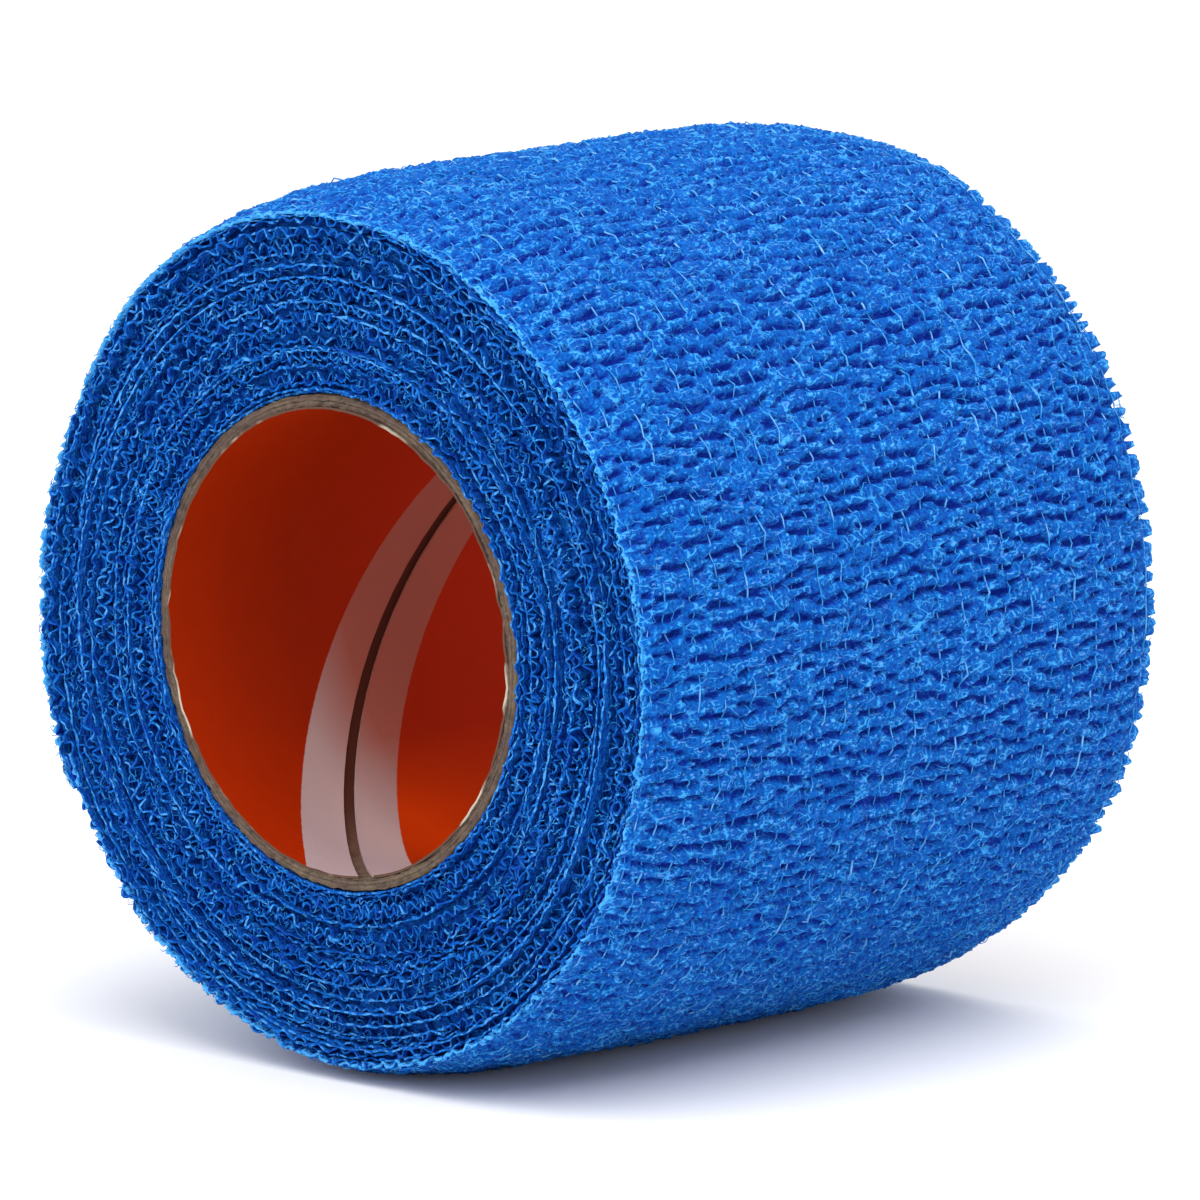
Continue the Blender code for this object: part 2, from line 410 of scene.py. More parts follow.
def floor_material():
    graph = Graph("Pale floor")
    grain = graph.noise(graph.place(), 60.0, 3.0)
    tint = graph.mix(grain, (0.90, 0.90, 0.905, 1), (0.93, 0.93, 0.93, 1))
    return graph.finish(Base_Color=tint, Roughness=0.85 - grain * 0.1)


# ---- meshes ----

def build_mesh(name, points, quads, tips=None):
    """A mesh from arrays: points, four-sided faces and, where given, three-sided ones."""
    tips = np.zeros((0, 3), int) if tips is None else tips
    corners = np.concatenate([quads.ravel(), tips.ravel()]).astype(np.int32)
    sides = np.concatenate([np.full(len(quads), 4), np.full(len(tips), 3)])
    starts = (np.cumsum(sides) - sides).astype(np.int32)
    mesh = bpy.data.meshes.new(name)
    mesh.vertices.add(len(points))
    mesh.vertices.foreach_set("co", points.astype(np.float32).ravel())
    mesh.loops.add(len(corners))
    mesh.loops.foreach_set("vertex_index", corners)
    mesh.polygons.add(len(sides))
    mesh.polygons.foreach_set("loop_start", starts)
    mesh.update(calc_edges=True)
    mesh.polygons.foreach_set("use_smooth", np.ones(len(sides), bool))
    return mesh


def keep_number(mesh, name, numbers, domain="POINT"):
    """Stores a number at each point or face for the material."""
    made = mesh.attributes.new(name, "FLOAT", domain)
    made.data.foreach_set("value", np.ascontiguousarray(numbers, np.float32).ravel())


def add_object(name, data):
    made = bpy.data.objects.new(name, data)
    bpy.context.scene.collection.objects.link(made)
    return made


def add_piece(name, mesh, material, replaced=None):
    mesh.materials.append(material)
    piece = add_object(name, mesh)
    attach(piece, "root")
    if replaced:
        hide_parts(replaced)
    return piece


def grid_quads(rows, columns, closed=False):
    """Faces between the points of a grid; a closed one joins its last column to its first."""
    row = np.arange(rows - 1)[:, None]
    column = np.arange(columns if closed else columns - 1)[None, :]
    after = (column + 1) % columns
    quads = [row * columns + column, row * columns + after,
             (row + 1) * columns + after, (row + 1) * columns + column]
    return np.stack(quads, -1).reshape(-1, 4)


def on_roll(angle, radius, along):
    """Points from their direction round the roll, distance from its axis and Y."""
    angle, radius, along = np.broadcast_arrays(angle, radius, along)
    x = AXIS_X + radius * np.cos(angle)
    z = AXIS_Z + radius * np.sin(angle)
    return np.stack([x, along, z], -1)


def unit(vectors):
    """The vectors at length 1."""
    return vectors / (np.linalg.norm(vectors, axis=-1, keepdims=True) + 1e-12)


def wander(rng, count, step, reach, sets=1):
    """Smooth noise of unit strength in a closed line of points, for each of some sets."""
    pace = np.fft.rfftfreq(count, step)
    keep = np.exp(-(pace * reach) ** 2)
    keep[0] = 0.0
    noise = np.fft.irfft(np.fft.rfft(rng.standard_normal((sets, count))) * keep, count)
    noise = noise / noise.std(axis=1, keepdims=True)
    return noise if sets > 1 else noise[0]


def ridge_noise(rng, shape, steps, pitch, run, spread=0.34):
    """Noise of unit strength whose ridges lie pitch apart and run along the rows' way."""
    along = np.fft.fftfreq(shape[0], steps[0])[:, None]
    around = np.abs(np.fft.fftfreq(shape[1], steps[1]))[None, :]
    keep = np.exp(-((around * pitch - 1.0) / spread) ** 2 - (along * run) ** 2)
    field = np.fft.ifft2(np.fft.fft2(rng.standard_normal(shape)) * keep).real
    return field / field.std()


def tube_mesh(name, paths, radii):
    """Closed three-sided tubes, one for each path in an array of (tube, point, place)."""
    tubes, count = paths.shape[:2]
    heading = unit(np.gradient(paths, axis=1))
    outward = paths - np.array(MIDDLE)
    outward[..., 1] = 0.3 * np.abs(outward[..., 1]) * np.sign(outward[..., 1])
    side = unit(np.cross(heading, outward))
    lift = np.cross(side, heading)
    rings = []
    for corner in range(3):
        turn = FULL_TURN * corner / 3 + math.pi / 2
        rings.append(paths + radii[..., None] * (math.cos(turn) * side + math.sin(turn) * lift))
    points = np.stack(rings, 2).reshape(-1, 3)
    first = (np.arange(tubes)[:, None] * count + np.arange(count - 1)[None, :]).reshape(-1, 1) * 3
    here, after = np.arange(3), (np.arange(3) + 1) % 3
    quads = np.stack([first + here, first + 3 + here, first + 3 + after, first + after], -1)
    start = np.arange(tubes)[:, None] * count * 3
    finish = start + (count - 1) * 3
    tips = np.concatenate([start + np.array([0, 1, 2]), finish + np.array([2, 1, 0])])
    return build_mesh(name, points, quads.reshape(-1, 4), tips)


# ---- the wound crepe ----

def out_of_round(angle, along):
    """What the roll's oval and the dent in its front rim add to the radius."""
    oval = OVAL * np.cos(2 * (angle - OVAL_TILT))
    from_dent = (angle - DENT_PLACE + math.pi) % FULL_TURN - math.pi
    dent = np.exp(-(from_dent / DENT_REACH) ** 2) * np.clip(-along / HALF_WIDTH, 0.0, 1.0)
    return oval - DENT * dent


def wound_radius(since_end, along):
    """Radius of the wound surface. since_end is the angle walked since the loose end."""
    angle = LOOSE_END + since_end
    crown = CROWN * (1.0 - np.minimum(np.abs(along) / HALF_WIDTH, 1.0) ** CROWN_POWER)
    spiral = sizes().turn * (since_end / FULL_TURN - 0.5)
    lumps = sum(np.sin(w * angle - a * along + p) for w, a, p in LUMP_WAVES)
    return RIM_RADIUS + crown + spiral + out_of_round(angle, along) + LUMP * lumps


OUTER_PIECES = ("outer_turn_start", "outer_turn_middle", "outer_turn_end")
FLAP = 0.07                  # angle by which the outer turn starts under its own end
TURN_COLUMNS = 1010          # columns of the outer turn all round
COLUMN_ARC = FULL_TURN * RIM_RADIUS / TURN_COLUMNS
ROWS_PER_THREAD = 10
RIM_OUT = {FRONT: 0.00008, BACK: 0.00045}    # how far each cut rim stands past the tube
RIM_RELIEF = (0.45, 0.6, 0.8)    # what is left of the grooves in the front rim's first rows
RIM_LIP = 0.0011             # depth to which the outer turn's inner side is closed, and
LIP_DROP = 0.00075           # how far below the surface it ends there
RIM_DROP = 0.00004           # how much lower than the cloth beside it the cut edge lies
# Tones of a rim's rows, from the inner side over the cut edge to the surface. The low tone of
# the inner side is painted shade; the high tones of the cut edge and its bead are partly the
# frayed fibres' paler colour, partly painted highlight.
LIP_TONE, CUT_TONE, BEAD_TONE, RIM_TONE = 0.35, 1.7, 2.0, 1.3
BEAD_OUT = 0.00006           # bulge of the cut edge
FRINGE = {FRONT: 0.00024, BACK: 0.00100}     # how unevenly each rim is cut
RIM_ROWS = ((FRONT, 0), (BACK, -1))  # each end, and the cloth's row beside it
THREAD_REACH = 0.00028       # half width of the dimple along an elastic thread
CRUMPLE, WAVE, SWAY = 0.00008, 0.00005, 0.00012   # heights of both, and how rows sway
# The loose end: how ragged and how pressed down it is, over what length, the columns that
# give its direction, and depth and set-back of its cut face and of its underside.
END_RAGGED, END_PRESSED, END_REACH, END_COLUMNS = 0.00035, 0.00018, 0.002, 12
END_CUT, END_UNDER = (0.00026, 0.00003), (0.00042, 0.0012)
PRESSED = 0.00003            # height of the pressed side above the floor
STRAND_FLOOR = 3 * PRESSED
THREAD_SWAY = 0.00008
FIRST_TURN = 0.00022         # from the tube to the middle of the first turn
LAST_TURN = 0.00022          # how far the last one is moved outwards
# End faces: bands from tube to rim, their depth, how much lower they and the turns beside
# the tube lie, and how unevenly the turns stand.
BANDS, BAND_DEPTH, BAND_SINK, TUBE_SINK, TURN_UNEVEN = 4.3, 0.00020, 0.00018, 0.00025, 0.00012
# Strips: gap to the tube, how far those that come and go stand out or sink, and how uneven
# a cut edge is. The bed: how uneven it is, and how far inside the outer turn it ends.
TUBE_CLEAR, SEEN_OUT, SUNK, EDGE_UNEVEN = 0.00008, 0.00012, 0.0011, 0.00016
BED_UNEVEN, BED_CLEAR = 0.00015, 0.00035
EDGE_STEP = {FRONT: 0.00015, BACK: 0.00030}  # step of the walk along the cut edges
# The strips of cut edges at an end face: pace of the walk in such steps, swing in turns,
# slip along the walk, tone, share that stands at the face, and how much sooner it ends.
# A strip's tone sets how pale its cut edge is: partly the cut fibres' own colour, partly painted
# light.
STRIPS = (
    {"kind": "crinkled_plies", "pace": 1.0, "swing": 0.50, "slip": 0.00012, "tone": 0.70,
     "seen": 1.0, "early": 0.0},
    {"kind": "inner_plies", "pace": 1.0, "swing": 0.42, "slip": 0.00012, "tone": 0.62,
     "seen": 0.55, "early": 0.5},
    {"kind": "straight_plies", "pace": 2.4, "swing": 0.09, "slip": 0.0, "tone": 1.0,
     "seen": 0.52, "early": 0.25},
)
RIM_FIBRES = {FRONT: 600, BACK: 400}
END_FIBRES = {FRONT: 1700, BACK: 500}
FIBRE_POINTS = 5
SIDE_FIBRE, RIM_FIBRE, END_FIBRE = (0.0006, 0.0022), (0.0005, 0.0016), (0.0003, 0.0013)  # lengths
THREAD_POINTS = 260
SEEDS = {"outer": 7, "front": 21, "back": 34, "threads": 5, "fibres": 11, "board": 3,
         "lining": 8}


def outer_grid():
    """Y of the outer turn's rows, and its lift, crumple and wave as arrays (row, column)."""
    own = sizes()
    rng = np.random.default_rng(SEEDS["outer"])
    step = own.thread_pitch / ROWS_PER_THREAD
    rows = int(2 * HALF_WIDTH / step)
    margin = HALF_WIDTH - (rows - 1) * step / 2
    along = np.linspace(-HALF_WIDTH + margin, HALF_WIDTH - margin, rows)
    shape, steps = (rows, TURN_COLUMNS), (step, COLUMN_ARC)
    puffs = ridge_noise(rng, shape, steps, own.ridge_pitch, own.ridge_run, 0.5)
    small_puffs = ridge_noise(rng, shape, steps, own.ridge_pitch * 0.62, own.ridge_run * 0.5, 0.4)
    crumple = ridge_noise(rng, shape, steps, own.ridge_pitch * 0.62, own.ridge_run * 0.3, 0.4)
    crumple = np.clip((np.abs(crumple) - 0.8) * 1.3, -1.1, 1.5)
    field = 0.86 * puffs + 0.50 * small_puffs
    lift = 0.5 + 0.5 * np.tanh(3.0 * (field + 0.86))
    from_thread = (np.arange(rows) % ROWS_PER_THREAD - ROWS_PER_THREAD // 2) * step
    at_thread = np.exp(-(from_thread / THREAD_REACH) ** 2)[:, None]
    lift = lift + (0.62 - lift) * 0.45 * at_thread
    field = 0.6 * field + crumple - 0.8 * at_thread
    wave = ridge_noise(rng, shape, steps, own.ridge_pitch * 4, own.ridge_run * 2)
    return along, lift, field, wave


def cut_line(rng, sign, lift):
    """How far a rim's cut edge stands out, in lobes where the cloth is full."""
    lobes = 0.75 + 0.35 * np.tanh(2.0 * wander(rng, len(lift), COLUMN_ARC, 0.005))
    fine = wander(rng, len(lift), COLUMN_ARC, 0.0005)
    return FRINGE[sign] * lobes * (lift - 0.55) + 0.00010 * fine


def outer_cloth():
    """The outer turn's points and their tones, as arrays (row, column)."""
    own = sizes()
    rng = np.random.default_rng(SEEDS["outer"] + 1)
    along, *fields = outer_grid()
    flap_columns = int(round(FLAP / FULL_TURN * TURN_COLUMNS))
    column = np.arange(-flap_columns, TURN_COLUMNS + 1)
    since_end = column * FULL_TURN / TURN_COLUMNS
    lift, field, wave = (values[:, column % TURN_COLUMNS] for values in fields)
    count = len(column)

    out = {sign: cut_line(rng, sign, lift[edge]) for sign, edge in RIM_ROWS}
    sway = SWAY * wander(rng, len(along), 0.0004, 0.004, sets=8)
    drift = np.array([np.interp(since_end, np.linspace(-FLAP, FULL_TURN, 8), sway[:, row])
                      for row in range(len(along))])
    relief = own.ridge_depth * (lift - 1.0) + CRUMPLE * field + WAVE * wave
    relief[:len(RIM_RELIEF)] *= np.array(RIM_RELIEF)[:, None]
    # The lift that shapes the ridges also sets their tone: painted shade in the grooves, painted
    # light on the ridges.
    lift = np.clip(lift * 0.9 + 0.07 * field, 0.0, 1.0)
    on_thread = (np.arange(len(along)) % ROWS_PER_THREAD == ROWS_PER_THREAD // 2)[:, None]
    faint = np.clip(0.2 + 0.3 * wander(rng, count, FULL_TURN * RIM_RADIUS / count, 0.002,
                                       sets=len(along)), 0.0, 1.0)
    lift = lift + 0.5 * on_thread * faint

    def row_of(height, drop, tone):
        radius = wound_radius(since_end, height) + drop
        return np.broadcast_arrays(radius, height, tone)

    rims = []
    for sign, edge in RIM_ROWS:
        tip = sign * (HALF_WIDTH + out[sign] + RIM_OUT[sign])
        rim = relief[edge] - RIM_DROP
        rims.append([
            row_of(sign * (HALF_WIDTH - RIM_LIP), -LIP_DROP, LIP_TONE),
            row_of(tip, rim - 1.5 * own.ply, CUT_TONE),
            row_of(tip + sign * BEAD_OUT, rim - 0.8 * own.ply, BEAD_TONE),
            row_of(tip, rim, RIM_TONE),
        ])
    middle = [row_of(y + drift[i], relief[i], lift[i]) for i, y in enumerate(along)]
    stack = rims[0] + middle + rims[1][::-1]
    radius, height, tones = (np.array(rows) for rows in zip(*stack))

    # The cut end is ragged, and the cloth beside it lies down on the turn below.
    to_end = (FULL_TURN - since_end) * RIM_RADIUS
    ragged = END_RAGGED * wander(rng, len(stack), 0.0004, 0.0012)
    pull = np.exp(-(to_end / END_REACH) ** 2)
    angle = LOOSE_END + since_end + pull * ragged[:, None] / RIM_RADIUS
    points = on_roll(angle, radius - pull * END_PRESSED, height)
    points[..., 2] = np.maximum(points[..., 2], PRESSED)
    return points, tones


def outer_turn():
    """The outer turn's cloth, in three pieces that meet edge to edge."""
    points, tones = outer_cloth()
    count = points.shape[1]
    material = crepe_material("Blue crepe, outer turn", contrast=0.50, fuzz=0.80, base=0.10,
                              hairs=1.0, foot=0.20, crest=RIM_CREST)
    cuts = [count * share // 3 for share in range(4)]
    pieces = []
    for name, first, last in zip(OUTER_PIECES, cuts, [cuts[1] + 1, cuts[2] + 1, count]):
        part, numbers = points[:, first:last], tones[:, first:last]
        if last == count:
            part, numbers = tuck_end(part, numbers)
        mesh = build_mesh(name, part.reshape(-1, 3), grid_quads(*part.shape[:2]))
        keep_number(mesh, "lift", numbers)
        pieces.append(add_piece(name, mesh, material, "bandage_winding"))
    return pieces


def tuck_end(points, numbers):
    """Adds the cut face and the shadowed underside at the outer turn's loose end."""
    last = points[:, -1:]
    inward = np.array(MIDDLE) - last
    inward[..., 1] = 0.0
    inward = unit(inward)
    backward = unit(points[:, [-END_COLUMNS]] - last)
    cut = last + END_CUT[0] * inward + END_CUT[1] * backward
    under = last + END_UNDER[0] * inward + END_UNDER[1] * backward
    # Painted shade: the underside gets the lowest tone. The cut face gets a paler one, partly its
    # own colour, partly painted light.
    pale, dark = np.full(cut.shape[:2], 0.8), np.zeros(cut.shape[:2])
    return np.concatenate([points, cut, under], 1), np.concatenate([numbers, pale, dark], 1)


def spiral_path(rng, side, step, pitch, early):
    """A turn by turn walk from the tube to the outer turn.

    Gives the angle, the share of the way out, the radius and how far the cut edge stands
    out of the end face. The walk ends early, in turns, before the loose end.
    """
    own = sizes()
    start = TUBE_RADIUS + FIRST_TURN
    last = RIM_RADIUS - own.turn / 2 + LAST_TURN
    inmost = start - 0.9 * own.turn
    turns = (last - inmost) / own.turn
    walk = math.pi * turns * (inmost + last)
    distance = np.arange(0.0, walk, step)
    growth = own.turn / FULL_TURN
    angle = (np.sqrt(inmost ** 2 + 2 * growth * distance) - inmost) / growth
    share = np.maximum((inmost + growth * angle - start) / (last - start), 0.0)
    direction = LOOSE_END - FULL_TURN * (turns + early) + angle
    radius = np.maximum(inmost + growth * angle, start)
    radius = radius + out_of_round(direction, side * HALF_WIDTH) * share ** 2
    bands = BAND_DEPTH * np.cos(FULL_TURN * BANDS * share) - BAND_SINK
    bands = bands - TUBE_SINK * np.clip(1 - share / 0.05, 0, 1)
    each_turn = np.interp(angle / FULL_TURN, np.arange(32), rng.normal(0, TURN_UNEVEN, 32))
    slow = TURN_UNEVEN * wander(rng, len(distance), step, pitch * 12)
    return direction, share, radius, bands + each_turn + slow


def ribbon_mesh(name, path, normal, front, back, thickness, lift):
    """A thin strip on edge: a cut edge in front, pale partly by its own colour and partly by
    painted light, and walls that narrow to the back, painted darker as shade.
    """
    outer = path + normal * thickness[:, None] / 2
    inner = path - normal * thickness[:, None] / 2
    points = np.stack([inner + front, outer + front, path + back], 1).reshape(-1, 3)
    first = (np.arange(len(path) - 1) * 3)[:, None]
    walls = ((0, 1, 4, 3), (1, 2, 5, 4), (2, 0, 3, 5))
    quads = np.concatenate([first + np.array([wall]) for wall in walls])
    end = (len(path) - 1) * 3
    tips = np.array([[0, 2, 1], [end, end + 1, end + 2]])
    mesh = build_mesh(name, points, quads, tips)
    mesh.set_sharp_from_angle(angle=math.radians(50))
    # The walls and ends get a lower tone than the cut edge: painted shade deep in the end face.
    deep = 0.10 + 0.30 * lift[:-1]
    keep_number(mesh, "lift", np.concatenate([lift[:-1], deep, deep, [0.3, 0.3]]), "FACE")
    return mesh


def crinkle(rng, share, step, pitch):
    """Noise whose waves lie pitch apart, shorter near the tube and longer further out."""
    count = len(share)
    pace = np.fft.rfftfreq(count, step)
    waves = []
    for reach in (0.72 * pitch, 1.2 * pitch):
        keep = np.exp(-((pace * reach - 1.0) / 0.45) ** 2)
        noise = np.fft.irfft(np.fft.rfft(rng.standard_normal(count)) * keep, count)
        waves.append(noise / noise.std())
    blend = np.clip(share, 0, 1) * math.pi / 2
    return waves[0] * np.cos(blend) + waves[1] * np.sin(blend)


def edge_strip(name, rng, side, strip):
    """The cut edges of the inner turns at one end, as one long crinkled strip."""
    own = sizes()
    pitch = own.cell_pitch
    step = strip["pace"] * EDGE_STEP[side]
    swing = strip["swing"] * own.turn
    direction, share, radius, out = spiral_path(rng, side, step, pitch, strip["early"])
    count = len(direction)
    # The swing is calmer on some stretches, beside the tube and at the rim.
    flatter = 0.5 + 0.5 * np.tanh(3.0 * (wander(rng, count, step, 0.05) + 0.75))
    by_rim = np.clip((share - 0.86) / 0.10, 0, 1)
    by_tube = np.clip(0.12 + share / 0.07, 0, 1)
    size = swing * by_tube * (0.82 + 0.28 * share) * (0.25 + 0.75 * flatter) * (1 - 0.3 * by_rim)
    sideways = size * np.tanh(1.1 * crinkle(rng, share, step, pitch))
    clear_of_tube = TUBE_RADIUS + TUBE_CLEAR - radius
    sideways = np.maximum(sideways, clear_of_tube)
    forward = strip["slip"] * wander(rng, count, step, pitch * 0.55)
    deeper = 0.6 * sideways + 0.4 * size * crinkle(rng, share, step, pitch)
    deeper = np.maximum(deeper, clear_of_tube)

    def place(offset, slipped):
        return on_roll(direction + slipped / radius, radius + offset, 0.0)

    path = place(sideways, forward)
    heading = np.gradient(path, axis=0)
    normal = unit(np.stack([heading[:, 2], np.zeros(count), -heading[:, 0]], 1))
    if strip["seen"] < 1.0:
        level = 2.4 * (strip["seen"] - 0.5)
        hidden = 0.5 - 0.5 * np.tanh(4.0 * (wander(rng, count, step, 0.06) + level))
        out = out + SEEN_OUT - SUNK * hidden
    out = out + min(EDGE_UNEVEN, 0.5 * swing) * wander(rng, count, step, pitch * 0.6)
    front = np.zeros((count, 3))
    front[:, 1] = side * (HALF_WIDTH + out)
    back = place(deeper, forward * 0.3) - path
    back[:, 1] = side * (HALF_WIDTH - own.edge_depth)
    thickness = own.ply * np.clip(1 + 0.35 * wander(rng, count, step, pitch * 0.3), 0.35, 2.2)
    lift = np.clip(strip["tone"] + 0.34 * wander(rng, count, step, pitch * 0.24), 0.2, 1.4)
    return ribbon_mesh(name, path, normal, front, back, thickness, lift)


def end_bed(name, rng, side):
    """The closed winding behind the open edges, in a low tone that paints shade deep in the end
    face.
    """
    rows, columns = 12, 300
    own = sizes()
    share = np.linspace(0, 1, rows)[:, None]
    angle = np.linspace(0, FULL_TURN, columns, endpoint=False)[None, :]
    spiral = own.turn * ((angle - LOOSE_END) % FULL_TURN / FULL_TURN - 0.5)
    room = RIM_RADIUS + spiral - BED_CLEAR - TUBE_RADIUS
    radius = TUBE_RADIUS + 0.0001 + share * room
    radius = radius + out_of_round(angle, side * HALF_WIDTH) * share ** 2
    bumps = BED_UNEVEN * rng.standard_normal((rows, columns))
    along = side * (HALF_WIDTH - 0.7 * own.edge_depth + bumps)
    mesh = build_mesh(name, on_roll(angle, radius, along).reshape(-1, 3),
                      grid_quads(rows, columns, closed=True)[:, ::side])
    # A low tone: painted shade on the bed deep behind the edges.
    keep_number(mesh, "lift", 0.3 + 0.1 * rng.standard_normal(rows * columns))
    return mesh


def end_face(side, label):
    """All that shows at one end: crinkled plies, straighter plies between them, the bed."""
    rng = np.random.default_rng(SEEDS[label])
    cut = crepe_material(f"Blue crepe, {label} edges", contrast=0.60, fuzz=0.6, base=0.26,
                         hairs=0.40, foot=0.0, crest=colours().cut_edge)
    strips = [edge_strip(f"{label}_{strip['kind']}", rng, side, strip) for strip in STRIPS]
    bed = end_bed(f"{label}_bed", rng, side)
    return [add_piece(mesh.name, mesh, cut) for mesh in [*strips, bed]]


def add_strands(name, paths, radii, label, crest):
    """Fine strands as one piece, held clear of the floor."""
    paths[..., 2] = np.maximum(paths[..., 2], STRAND_FLOOR)
    mesh = tube_mesh(name, paths, radii)
    return add_piece(name, mesh, strand_material(label, crest))


def elastic_threads():
    """Threads that dip in and out of the outer turn's grooves, and one along each rim."""
    own = sizes()
    rng = np.random.default_rng(SEEDS["threads"])
    count = THREAD_POINTS
    threads = int(2 * HALF_WIDTH / own.thread_pitch)
    since_end = np.linspace(-FLAP, FULL_TURN - 0.01, count)
    step = FULL_TURN * RIM_RADIUS / count
    place = (np.arange(threads) + 0.5) * own.thread_pitch
    place = place - place.mean() + rng.normal(0, THREAD_SWAY, threads)
    along = place[:, None] + THREAD_SWAY * wander(rng, count, step, 0.0022, sets=threads)
    sink = own.ridge_depth * (0.38 + 0.34 * wander(rng, count, step, 0.0011, sets=threads))
    rims = np.array([[FRONT], [BACK]])
    inset = 0.00040 - 0.00006 * wander(rng, count, step, 0.0012, sets=2)
    rim_place = rims * (HALF_WIDTH - inset)
    rim_sink = 0.00010 + 0.00008 * wander(rng, count, step, 0.0012, sets=2)
    along, sink = np.concatenate([along, rim_place]), np.concatenate([sink, rim_sink])
    radius = wound_radius(since_end[None, :], along) - sink
    paths = on_roll(LOOSE_END + since_end[None, :], radius, along)
    radii = own.thread_width / 2 * (1 + 0.2 * wander(rng, count, step, 0.0015, sets=len(paths)))
    return add_strands("elastic_threads", paths, radii, "Pale thread", THREAD_CREST)


def curled(rng, count, points, shortest, longest):
    """Flat curls: offsets across and up, a row for each fibre, and the way along it."""
    t = np.linspace(0, 1, points)[None, :]
    size = rng.uniform(shortest, longest, (count, 1))
    heading = rng.uniform(0, FULL_TURN, (count, 1))
    bend = rng.normal(0, 2.6, (count, 1))
    kink = rng.normal(0, 0.9, (count, 1))
    turned = heading + bend * t + kink * np.sin(3 * math.pi * t)
    across = np.cumsum(np.cos(turned), 1) * size / points
    up = np.cumsum(np.sin(turned), 1) * size / points
    return across - across.mean(1, keepdims=True), up - up.mean(1, keepdims=True), t


def loose_fibres():
    """Fine curls of fibre that stand off the outer turn, its rims and the end faces."""
    own = sizes()
    rng = np.random.default_rng(SEEDS["fibres"])
    points = FIBRE_POINTS
    groups = []

    across, up, t = curled(rng, own.fibres, points, *SIDE_FIBRE)
    since_end = rng.uniform(0, FULL_TURN, (own.fibres, 1)) + across / RIM_RADIUS
    along = np.clip(rng.uniform(-1, 1, (own.fibres, 1)) * HALF_WIDTH + up,
                    -HALF_WIDTH - 0.0003, HALF_WIDTH + 0.0003)
    proud = rng.uniform(0.00005, 0.00028, (own.fibres, 1)) * np.sin(math.pi * t) - 0.00008
    groups.append(on_roll(LOOSE_END + since_end, wound_radius(since_end, along) + proud, along))

    for side in (FRONT, BACK):
        rim_fibres, end_fibres = RIM_FIBRES[side], END_FIBRES[side]
        across, up, t = curled(rng, rim_fibres, points, *RIM_FIBRE)
        since_end = rng.uniform(0, FULL_TURN, (rim_fibres, 1)) + across / RIM_RADIUS
        along = side * (HALF_WIDTH + np.clip(up + 0.0001, -0.0006, 0.0005))
        radius = wound_radius(since_end, along) - rng.uniform(-0.0001, 0.0004, (rim_fibres, 1))
        groups.append(on_roll(LOOSE_END + since_end, radius, along))

        across, up, t = curled(rng, end_fibres, points, *END_FIBRE)
        radius = np.sqrt(rng.uniform(0.37, 0.92, (end_fibres, 1))) * RIM_RADIUS + up
        angle = rng.uniform(0, FULL_TURN, (end_fibres, 1)) + across / radius
        out = rng.uniform(-0.0005, 0.0002, (end_fibres, 1)) * np.sin(math.pi * t) - 0.0001
        groups.append(on_roll(angle, radius, side * (HALF_WIDTH + out)))

    paths = np.concatenate(groups)
    taper = np.sin(math.pi * np.linspace(0.12, 0.88, points))[None, :]
    radii = own.fibre_width / 2 * taper * np.ones((len(paths), 1))
    return add_strands("loose_fibres", paths, radii, "Pale fibre", colours().fibre)


# ---- the tube ----

BOARD_INNER = TUBE_RADIUS - 0.00076
LINING_OUTER = BOARD_INNER - 0.00001
LINING_INNER = LINING_OUTER - 0.00016
BOARD_PLIES = 3              # plies that show in the board's cut ends
BOARD_COLUMNS, BOARD_ACROSS, BOARD_ALONG = 450, 9, 4
LINING_COLUMNS, LINING_ROWS = 150, 36
LINING_OUT, LINING_FRAY = 0.00005, 0.00006   # how far its ends stand out, and unevenly
LINING_CURL, LINING_RIPPLE = 0.00006, 0.00002


